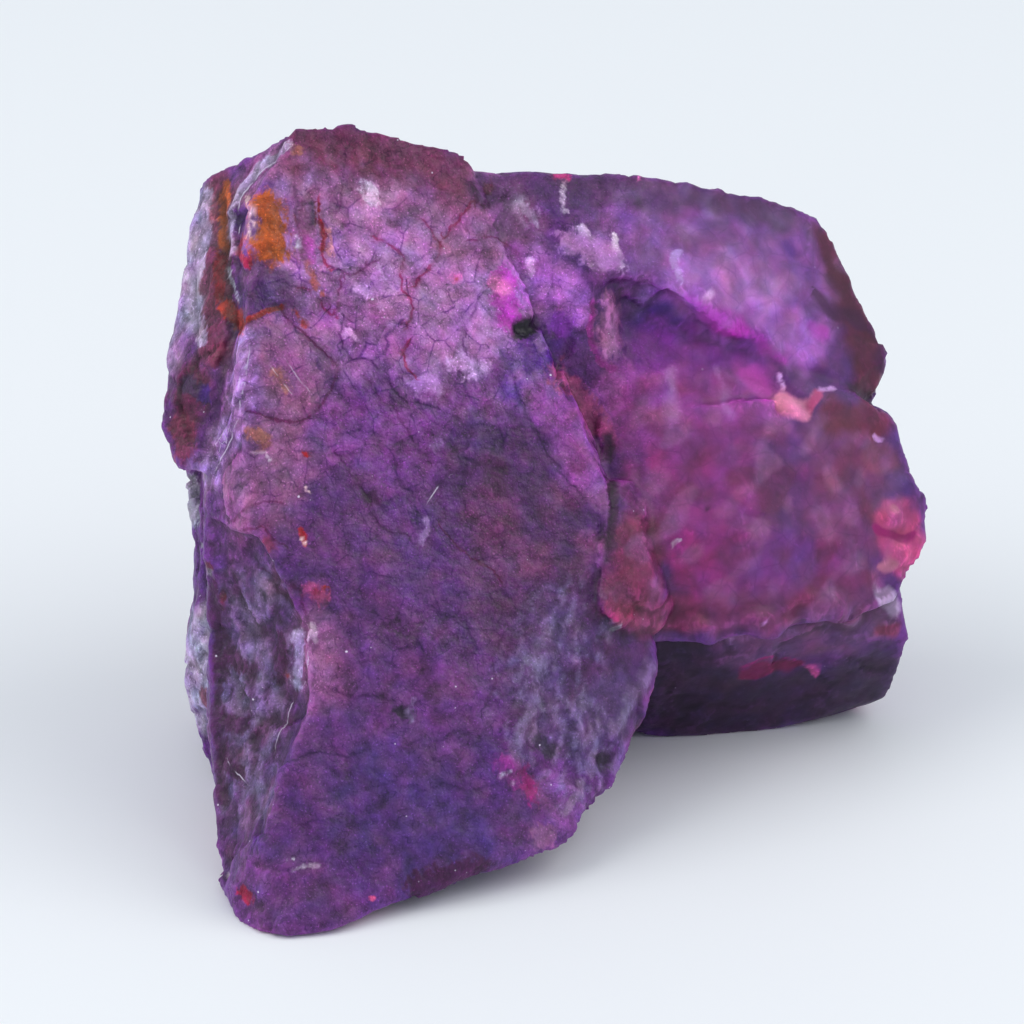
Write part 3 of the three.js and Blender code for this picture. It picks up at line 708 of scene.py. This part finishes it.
    ("indigo of plate", DUSK, 1.6, 0.6, [(13.75, 13), (13, 17.75)]),
    ("magenta of plate", MAGENTA_ROSE, 1.3, 0.75, [(7.6, 13), (9.2, 10.8)]),
    ("mauve of plate", AMETHYST, 1.8, 0.6, [(12.5, 12.6), (14.2, 11.8)]),
    ("dimple of plate", DARK_PLUM, 0.4, 0.4, [(8.8, 15.3)]),
    ("brown end of plate", PLUM_RED, 1.6, 0.85, [(5, 13.75), (4.25, 10.5)]),
    # painted shadow in the gap at the step to the plate
    ("seam to plate", DARK_PLUM, 0.4, 0.7, [(3.2, 19.4), (3.5, 17.1), (3.3, 13.4)]),
    ("rose corner", PLUM_RED, 0.6, 0.85, [(3.5, 9.75)]),
    ("light on corner", ROSE_DEEP, 0.22, 0.4, [(3.3, 9.6), (3.7, 9.3)]),
    # painted rim highlight under the corner
    ("painted highlight under corner", GREY, 0.2, 0.8, [(3.2, 8.6), (3.9, 8.9)]),
    ("glint on plate", PALE_ROSE, 0.13, 0.8, [(6.7, 13.2), (7.3, 13.6)]),
    ("pink patch a", MAGENTA_ROSE, 0.68, 0.4, [(6, 18.25)]),
    ("wine right end", ROSE_BROWN, 1, 0.6, [(19, 18.5)]),
    # partly the knot's rose colour, partly painted glow; its two lights are painted highlights
    ("knot", ROSE, 1.3, 0.9, [(20, 14.75), (20.5, 13)]),
    ("stripe of knot", MAGENTA_DEEP, 0.4, 0.85, [(19, 14), (21.1, 13.7)]),
    ("painted lower highlight of knot", ROSE_PALE, 0.5, 0.8, [(19.5, 12.4)]),
    ("painted upper highlight of knot", ROSE_PALE, 0.4, 0.7, [(19.6, 15.5)]),
    # the right foot
    # painted shade under the plate
    ("dark under plate", NIGHT_VIOLET, 1.3, 1, [(6.4, 7.2), (8.4, 7.3)]),
    ("plum front of foot", GREY_PLUM, 1.2, 0.95, [(10.4, 7.5), (14.5, 8), (18.7, 8.9)]),
    ("plum under plate", PLUM, 1.2, 0.8, [(9.5, 9.6), (14, 10), (18, 11)]),
    ("rose under plate", PLUM_RED, 1, 0.8, [(4.5, 9.4), (8, 9.4)]),
    # painted shade on the underside of the foot, down to the floor
    ("underside of foot", NIGHT_VIOLET, 2, 0.95, [(6.75, 6), (10, 4.25), (15.75, 4.25), (19.25, 5.5)]),
    ("foot near floor", NIGHT_VIOLET, 1.8, 0.95, [(5.8, 3.8), (8, 3.4), (11, 3)]),
    ("grey chips", GREY_LILAC, 0.5, 0.8, [(19.1, 10.8), (19.6, 9.8)]),
    ("wine end of foot", PLUM_RED, 0.7, 0.7, [(19.5, 8.5)]),
    ("wine band", MAGENTA_WINE, 0.5, 0.7, [(11.25, 6), (14.5, 6.5)]),
    ("bright edge of band", MAGENTA_DEEP, 0.17, 0.6, [(11.4, 6.5), (12.9, 7), (14.3, 6.9)]),
    ("hot spot", HOT_PINK, 0.34, 0.7, [(15.2, 6.1), (15.4, 5.9)]),
    ("lilac streak", LILAC_PINK, 0.29, 0.4, [(10.4, 7.9), (11.9, 9.4)]),
    # the lower right bevel
    # painted sheen: the grazing lower right bevel reflects the bright room, in its wash, streaks and pale
    # edge
    ("shade of right bevel", GREY_VIOLET, 1.8, 0.7, [(0.4, 8.6), (-0.8, 5.5), (1.2, 3), (3.4, 4.4)]),
    ("bevel streak a", SLATE, 0.4, 0.1, [(0.9, 9.2), (-0.6, 8), (-1.6, 6.6), (-2.1, 5.8)]),
    ("bevel streak b", SLATE, 0.5, 0.3, [(-0.6, 7.2), (-1.1, 5.4), (-1.3, 4.2), (-1.8, 2.6), (-2.2, 1.2)]),
    ("bevel streak c", SLATE, 0.4, 0.1, [(0.7, 4.8), (1.5, 3.3), (1.3, 1.3)]),
    ("bevel streak d", SLATE, 0.4, 0.05, [(2.6, 4.4), (2.8, 3), (1.7, 2.4)]),
    ("pale edge of bevel", SLATE, 0.7, 0.2, [(5.5, 6.5), (4.5, 4.25), (3.5, 2.75)]),
    # painted shade in the hollows
    ("night hollow", NIGHT, 0.73, 0.6, [(3, 1.25)]),
    ("night hollow b", NIGHT, 0.5, 0.5, [(-0.6, 2.4), (-0.2, 1.9)]),
    ("magenta at keel", MAGENTA_DEEP, 0.62, 0.5, [(-1.6, 0.8), (-1, -0.5)]),
    ("veil at keel", MAGENTA_DARK, 0.6, 0.3, [(-2.6, 1.4), (-2.2, 0.2)]),
    ("lavender keel", LAVENDER_DARK, 1.1, 0.9, [(0.2, -0.1), (0.9, -1.2)]),
    ("pale edge of keel", SLATE_PINK, 0.3, 0.7, [(1.6, 0.2), (1.4, -0.7), (0.7, -1.6)]),
    ("white crumbs", FROST, 0.07, 0.5, [(-2.9, 0.6), (-2.4, 0.9)]),
    ("white crumbs b", FROST, 0.09, 0.7, [(-2.3, 0.1)]),
    ("white crumbs c", CREAM, 0.1, 0.7, [(-0.8, -1.3)]),
    ("brown and pink keel", PLUM_PINK, 0.78, 0.7, [(-0.5, -2.75)]),
    # painted shade under the keel
    ("dark keel", DARK_PLUM, 0.89, 0.85, [(-7.25, -5.25), (-4, -4.5)]),
    # the left bevel and the toe
    # painted reflection on the grazing wall of the heel
    ("heel", ASH, 1.25, 0.7, [(-19.75, 8.75), (-20, 6.75), (-20, 4)]),
    ("red spot of heel", PLUM_BROWN, 0.29, 0.7, [(-19.8, 5.1), (-19.7, 4.4)]),
    # painted sheen: the grazing left bevel reflects the pale room, in both of these washes
    ("painted sheen on left bevel", SLATE, 2, 0.9, [(-16.25, 10.5), (-16.5, 7), (-16.75, 3.75), (-17, -0.25)]),
    ("painted sheen on bevel b", SLATE_LIGHT, 0.44, 0.85, [(-14.2, 8.6), (-13.8, 7.4), (-14.1, 5.7)]),
    ("wine of left edge", DARK_PLUM, 0.45, 0.7, [(-18.8, 11), (-18.7, 5), (-18.4, -1)]),
    # painted shade in the hollows of the left bevel
    ("green hollow", NIGHT, 0.2, 0.4, [(-16.1, 10.9), (-15.9, 10.5)]),
    ("plum hollow a", DARK_PLUM, 0.39, 0.8, [(-15.3, 11.1), (-14.3, 10.4)]),
    ("plum hollow c", DARK_PLUM, 0.44, 0.8, [(-15, 8.2), (-14.8, 7), (-15.1, 5.9)]),
    ("plum hollow d", DARK_PLUM, 0.5, 0.8, [(-18, 7.3), (-17.3, 6.6)]),
    ("plum hollow f", DARK_PLUM, 0.5, 0.8, [(-18.3, 3.6), (-17.3, 3.3)]),
    ("plum hollow g", DARK_PLUM, 0.45, 0.8, [(-18.3, 1.3), (-17.5, 0.8)]),
    ("wine spot of bevel", WINE_RED, 0.22, 0.8, [(-14.6, 6.2)]),
    ("mauve by bevel", MAUVE, 1, 0.7, [(-13, 9), (-12.75, 6.75)]),
    ("olive by bevel", PALE_ROSE, 0.33, 0.5, [(-13.4, 9), (-13.2, 8.2)]),
    ("red spot of toe", RED_WINE, 0.39, 0.9, [(-17, -5.7), (-16.7, -6)]),
    # painted glint
    ("painted glint ring on toe", FROST, 0.16, 0.9, [(-14.3, -3.7)]),
    ("olive streak of toe", GREY_LILAC, 0.16, 0.7, [(-14, -4.3), (-13, -4.2)]),
    ("pink spot of toe", ROSE, 0.25, 0.9, [(-9.9, -6)]),
    # painted glint
    ("painted glint on toe", PALE_ROSE, 0.19, 0.9, [(-18.1, -4.9)]),
]

BLOTCHES = [
    # name, colour, half-width, strength, pitch, how little they reach up and down, how they lean, path
    # plum and wine patches break up the painted sheen of the left bevel
    ("plum in left bevel sheen", PLUM_VIOLET, 2.2, 0.85, 0.8, 0.5, 0, [(-16.5, 10.5), (-16.5, 6), (-16.8, 1),
     (-17.3, -3)]),
    ("wine in left bevel sheen", DARK_PLUM, 2.2, 0.75, 0.9, 0.5, 0, [(-16.5, 10.5), (-16.5, 3)]),
    # painted sheen on the right bevel
    ("painted sheen on right bevel", SLATE_LIGHT, 2.4, 0.4, 0.45, 0.12, 0.35, [(0.8, 8.5), (-0.6, 4.5), (1.5, 1.5)]),
    # painted highlight streaks on the shoulder
    ("streaks of shoulder", LILAC, 0.8, 0.9, 0.3, 0.12, 0.3, [(-17, 24.6), (-17.4, 20.7), (-18.5, 19),
     (-19.3, 17.5)]),
    ("violet in upper face", AMETHYST_DARK, 4.5, 0.3, 1, 0.8, 0, [(-12, 31), (-8, 28.5), (-4, 27)]),
    ("frost in upper face", LILAC_PALE, 4.5, 0.25, 0.8, 0.8, 0, [(-12, 30), (-8, 27.5), (-4, 26)]),
    ("indigo in broad face", BLUE_VIOLET, 8, 0.25, 2.6, 0.8, 0, [(-10, 17), (-7, 9), (-8, 0)]),
    ("pink in broad face", MAUVE, 8, 0.13, 1.2, 0.7, 0, [(-11, 18), (-8, 9), (-9, 0)]),
    ("wine in plate", PLUM_BROWN, 6, 0.4, 1.8, 0.9, 0.3, [(7, 17), (14, 15)]),
    ("mauve in plate", MAUVE_PINK, 6, 0.35, 1.5, 0.9, 0.3, [(7, 17), (14, 15)]),
    # painted glow in the block
    ("painted glow in block", LILAC, 4, 0.12, 1.2, 0.7, 0, [(6, 30.5), (13, 28)]),
    ("plum in block", PLUM_VIOLET, 4, 0.3, 1.4, 0.7, 0, [(6, 30.5), (13, 28)]),
    ("wine in iron corner", WINE, 1.1, 0.5, 0.7, 0.4, 0, [(-18.5, 33), (-18.7, 26)]),
]

CLOUDS = [
    # colour, pitch, where in the noise, strength on the front, strength elsewhere
    (MAUVE_PINK, 7.0, 5.5, 0.1, 0.6),
    (WINE, 6.0, 15.5, 0.0, 0.55),
    (INDIGO, 5.0, 25.5, 0.15, 0.5),
    (ROSE_DEEP, 4.0, 35.5, 0.0, 0.25),
]
MOTTLE_PITCH = 1.0
MOTTLE = (0.15, 0.2, 0.12)  # how much red, green and blue vary over a millimetre


def laid(colour, share):
    """The tint of the skin, with a colour laid over it as far as the share says."""
    return tint + (colour - tint) * share[:, None]


tint = np.tile(VIOLET, (len(skin), 1))
for colour, pitch, shift, on_front, elsewhere in CLOUDS:
    amount = elsewhere + (on_front - elsewhere) * facing
    tint = laid(colour, rise(ripple(strayed, pitch, shift), 0.05, 0.4) * amount)
uneven = 0.35 * ripple(skin, 0.9, 63.1)  # by how much the ends of a wash wander
for name, colour, width, strength, path in STAINS:
    if width >= WASH_WIDTH:
        washed = fall(reach(path, strayed, width) - uneven, 0.6, 1.4)
        tint = laid(colour, washed * strength * facing)

for i, (name, colour, width, strength, pitch, upright, lean, path) in enumerate(BLOTCHES):
    within = fall(reach(path, strayed, width), 0.8, 1.5)
    leaning = skin - np.outer(skin[:, 2], (lean, 0, 1 - upright))
    patchy = rise(ripple(leaning, pitch, 83.1 + i), 0.02, 0.32)
    tint = laid(colour, patchy * within * strength * facing)

# A mark's cover falls from its path to a half at its width. The finish breaks up what is not well covered.
mark, cover = tint.copy(), np.zeros(len(skin))
outline = near_skin + wander * right_half[:, None]
for name, colour, width, strength, path in STAINS:
    if width < WASH_WIDTH:
        solid = 0.5 + 0.5 * strength
        own = solid * np.clip(MARK_FULL - MARK_FALL * reach(path, outline, width), 0, MARK_FULL)
        own *= facing
        share = np.maximum(own / (own + cover + 1e-6), rise(own, 0.3, 0.7)) * (own > 0)
        mark += (tint + (colour - tint) * solid - mark) * share[:, None]
        cover = np.maximum(cover, own)

# Ridges go pale, partly as real wear and partly as a painted highlight, and hollows are darkened as
# painted shade. A vertex stands on a ridge where it is outside its neighbours' average place.
RIDGE_AND_HOLLOW_SCALES = [(3, 0.02), (14, 0.07)]  # times softened, and the height in millimetres that counts as full
# painted shade in the seams
shade = 1 - SEAM_SHADE * np.clip(painted_seam_shade, 0, 1)
shape = triples(even.vertices, "co") / MM
facing_out = triples(even.vertex_normals, "vector")
wear_highlight_and_shade = np.zeros(len(skin))
for times, full in RIDGE_AND_HOLLOW_SCALES:
    wear_highlight_and_shade += 0.5 * np.clip(np.sum((shape - softened(shape, times)) * facing_out, 1) / full, -1, 1)
wear_highlight_and_shade *= 1 - 0.6 * broad_face
# painted shade in the hollows
shade *= 1 + HOLLOW_SHADE * np.minimum(wear_highlight_and_shade, 0)
for channel, amount in enumerate(MOTTLE):
    varied = shade * (1 + amount * ripple(strayed, MOTTLE_PITCH, 71.3 + channel))
    tint[:, channel] *= varied
    mark[:, channel] *= varied


def around(path, width):
    """1 near a path on the front, and 0 far from it."""
    return fall(reach(path, skin, width), 0.5, 1.5) * facing


# The net of healed cracks is clearest on the upper face, and clear on the middle of the broad face. On the
# sides and the back it is half as clear.
netted = 0.3 + 0.7 * around([(-12, 27), (-7, 24)], 6.5)
netted = np.maximum(netted, 0.75 * around([(-14, 19), (-7, 11)], 6))
netted = np.maximum(netted, 0.5 * (1 - facing))

for name, colours, last in [
    ("stain", tint, netted),
    ("mark", mark, cover),
    ("crack", np.stack([crack_gap, crack_strength, crack_red], 1), wear_highlight_and_shade),
]:
    layer = even.attributes.new(name, "FLOAT_COLOR", "POINT")
    layer.data.foreach_set("color", np.hstack([colours, last[:, None]]).astype(np.float32).ravel())

# --- The finish -----------------------------------------------------------------------------------------
# Cloudy crystal with a greasy, half-dull shine. Light enters it a little way. A net of fine healed cracks
# shows as dark lines, and dust, tiny crushed spots and painted glints show as pale specks.

VEIN_VIOLET = (0.38, 0.22, 0.5, 1)  # what the dye in a crack leaves of the light
VEIN_RED = (0.8, 0.16, 0.3, 1)
CRUMB_AND_GLINT_WHITE = (*FROST, 1)  # crushed crumbs and glints
PULLED = 0.0009  # how far the clouds are pulled about, in metres
NET_PULLED = 0.0004
NET_CELLS = 600  # cells of the net of healed cracks to the metre
CRUMB_CELLS = 1500
RIGHT_END = 0.009  # how far across the sandy grain has faded, in metres
RIGHT_GLASSY = 0.88  # how much of the sandy grain the right half lacks


def plain_material(name):
    material = bpy.data.materials.new(name)
    material.use_nodes = True
    return material, material.node_tree.nodes["Principled BSDF"].inputs


crystal, shader = plain_material("cloudy crystal")


class Wire:
    """The output of a node of the crystal. Arithmetic on it adds Math nodes."""

    def __init__(self, socket):
        self.socket = socket

    def __add__(self, other):
        return maths("ADD", self, other)

    def __sub__(self, other):
        return maths("SUBTRACT", self, other)

    def __rsub__(self, other):
        return maths("SUBTRACT", other, self)

    def __mul__(self, other):
        return maths("MULTIPLY", self, other)

    def __abs__(self):
        return maths("ABSOLUTE", self)

    __radd__ = __add__
    __rmul__ = __mul__


def fill(sockets, values):
    """Gives each socket its value or its wire."""
    for key, value in values.items():
        if isinstance(value, Wire):
            crystal.node_tree.links.new(value.socket, sockets[key])
        else:
            sockets[key].default_value = value


def node(kind, settings={}, inputs={}, output=0):
    """Adds a node: its settings first, then the values or wires of its sockets."""
    made = crystal.node_tree.nodes.new("ShaderNode" + kind)
    for key, value in settings.items():
        setattr(made, key, value)
    fill(made.inputs, inputs)
    if isinstance(output, tuple):
        return [Wire(made.outputs[each]) for each in output]
    return Wire(made.outputs[output])


def maths(operation, *values):
    return node("Math", {"operation": operation}, dict(enumerate(values)))


def vector_maths(operation, *values):
    return node("VectorMath", {"operation": operation}, dict(enumerate(values)))


def blend(a, b, share, way="MIX"):
    """Mixes two colours."""
    return node("Mix", {"data_type": "RGBA", "blend_type": way, "clamp_factor": True},
                {0: share, 6: a, 7: b}, 2)


def fade(value, start, end):
    """0 at the start and 1 at the end, with soft ends."""
    return node("MapRange", {"interpolation_type": "SMOOTHSTEP"},
                {"Value": value, "From Min": start, "From Max": end})


def near(distance, edge, core=0.0):
    """1 within the core and 0 beyond the edge, with soft ends."""
    return 1 - fade(distance, core, edge)


def noise_field(where, bumps, detail, output=0):
    """Noise with so many bumps to the metre."""
    return node("TexNoise", {}, {"Vector": where, "Scale": bumps, "Detail": detail}, output)


def kept(layer_name):
    """The colour and the fourth number that a layer keeps at each vertex."""
    return node("Attribute", {"attribute_name": layer_name}, {}, (0, 3))


def parts(colour, output=0):
    return node("SeparateColor", {}, {"Color": colour}, output)


def cells(where, scale):
    """How far each point lies from the middle of its cell, and a number drawn for the cell."""
    gap, draw = node("TexVoronoi", {}, {"Vector": where, "Scale": scale}, (0, 1))
    return gap, parts(draw)


place = node("TexCoord", output=3)
drift = noise_field(place, 800, 2, 1)
bent = vector_maths("MULTIPLY_ADD", drift, (PULLED,) * 3, place)
healed = vector_maths("MULTIPLY_ADD", drift, (NET_PULLED,) * 3, place)
upright = vector_maths("MULTIPLY", bent, (1, 1, 0.35))

stain, netted = kept("stain")
mark, cover = kept("mark")
crack, wear_highlight_and_shade = kept("crack")
crack_gap, crack_strength, crack_red = parts(crack, (0, 1, 2))

# Clouds, their hues, upright fibres, grains and sand.
cloud = noise_field(bent, 1000, 3)
hue = noise_field(bent, 700, 2, 1)
fibre = noise_field(upright, 3600, 3)
grain = noise_field(place, 1900, 3)
sand = noise_field(place, 8500, 1)
net_gap = node("TexVoronoi", {"feature": "DISTANCE_TO_EDGE"},
               {"Vector": healed, "Scale": NET_CELLS})
cell_tone = cells(healed, NET_CELLS)[1]
crumb_gap, crumb_draw = cells(place, CRUMB_CELLS)

# Each channel of the stain varies by itself over a fraction of a millimetre, and then all three vary
# together. The left half is sandy, and the right half is more like glass.
shift = vector_maths("MULTIPLY_ADD", hue, (0.7, 0.5, 0.5), (0.67, 0.71, 0.785))
across = node("SeparateXYZ", {}, {"Vector": place})
sandy = 1 - fade(across, 0.0, RIGHT_END) * RIGHT_GLASSY
broken = cover + (0.5 * cloud + 0.5 * fibre - 0.5) * 2.5 * sandy
covered = fade(broken, 0.28, 0.82)
body = blend(stain, mark, covered)
body = blend(body, shift, 1 - 0.75 * covered, "MULTIPLY")
# Ridges are lightened, partly as real wear and partly as a painted highlight.
worn_and_highlit = fade(wear_highlight_and_shade + (fibre - 0.5) * 2.2, 0.2, 1.2)
brightness = (cloud - 0.5) * (0.8 + 0.5 * sandy) * (1 - 0.5 * covered) + 0.93 + 0.055 * sandy
brightness = brightness + (cell_tone - 0.5) * netted * 0.4 + worn_and_highlit * 0.6
speck = fade(sand, 0.66, 0.74)
flake = (crumb_draw - 0.5) * 0.3
brightness = brightness + ((grain - 0.5) * 1.1 + (sand - 0.5) * 0.8 + flake + speck * 0.8) * sandy
body = node("VectorMath", {"operation": "SCALE"}, {0: body, "Scale": brightness})

# The dye in the cracks darkens what is under it. The net of healed cracks shows where the clouds are thick,
# and hairs of dye run where the noise passes through its middle value.
net_part = fade(cloud, 0.4, 0.58) * netted * (1 - covered)
net_line = near(net_gap, 0.05) * net_part
net_shade = near(net_gap, 0.22) * net_part
off_crack = abs(crack_gap + (grain - 0.5) * 0.6)
part_shut = fade(cloud, 0.3, 0.55)
crack_line = near(off_crack, 0.13, 0.02) * crack_strength * part_shut
crack_shade = near(off_crack, 0.38) * crack_strength
dye = blend(VEIN_VIOLET, VEIN_RED, crack_red)
hair = near(abs(parts(hue) - 0.5), 0.014) * fade(fibre, 0.35, 0.6)
hair = (hair + near(abs(fibre - 0.5), 0.03) * 0.4) * sandy * (1 - covered)
pale_line = fade(crack_red, 1.4, 1.6)
body = blend(body, VEIN_VIOLET, net_line * 0.75 + net_shade * 0.2, "MULTIPLY")
body = blend(body, VEIN_VIOLET, hair * 0.75, "MULTIPLY")
body = blend(body, dye, (crack_shade * 0.4 + crack_line * 0.9) * (1 - pale_line), "MULTIPLY")

# Pale lines are painted glints where light catches a crack, and pale specks are crushed crumbs, partly
# painted glints.
off_glint = abs(crack_gap + (grain - 0.5) * 0.12)
glint = near(off_glint, 0.06) * crack_strength * fade(cloud, 0.4, 0.6)
body = blend(body, CRUMB_AND_GLINT_WHITE, glint * pale_line * 0.7)
# crumbs gather on ridges, where they also stand for painted glints
crumb_and_glint_here = fade(crumb_draw + wear_highlight_and_shade * 0.25 + (cloud - 0.5) * 0.3, 0.91, 0.93)
crumbs = near(crumb_gap + (grain - 0.5) * 0.3, 0.11, 0.02) * crumb_and_glint_here * sandy
body = blend(body, CRUMB_AND_GLINT_WHITE, crumbs * 0.85)

fill(shader, {
    "Base Color": body,
    "Roughness": 0.66 - 0.3 * cloud - 0.15 * netted,
    "Normal": node("Bump", {}, {"Strength": 0.7, "Distance": 0.0003, "Height": grain * sandy}),
    "Subsurface Weight": 0.35,
    "Subsurface Radius": (1.0, 0.6, 1.1),
    "Subsurface Scale": 0.0005,
    "IOR": 1.6,
    "Specular IOR Level": 0.25,
})
even.materials.append(crystal)

board_material, board_shader = plain_material("white board")
fill(board_shader, {"Base Color": BOARD_COLOUR, "Roughness": 0.7})
board_mesh.materials.append(board_material)

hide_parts("crystal")
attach(stone, "root")
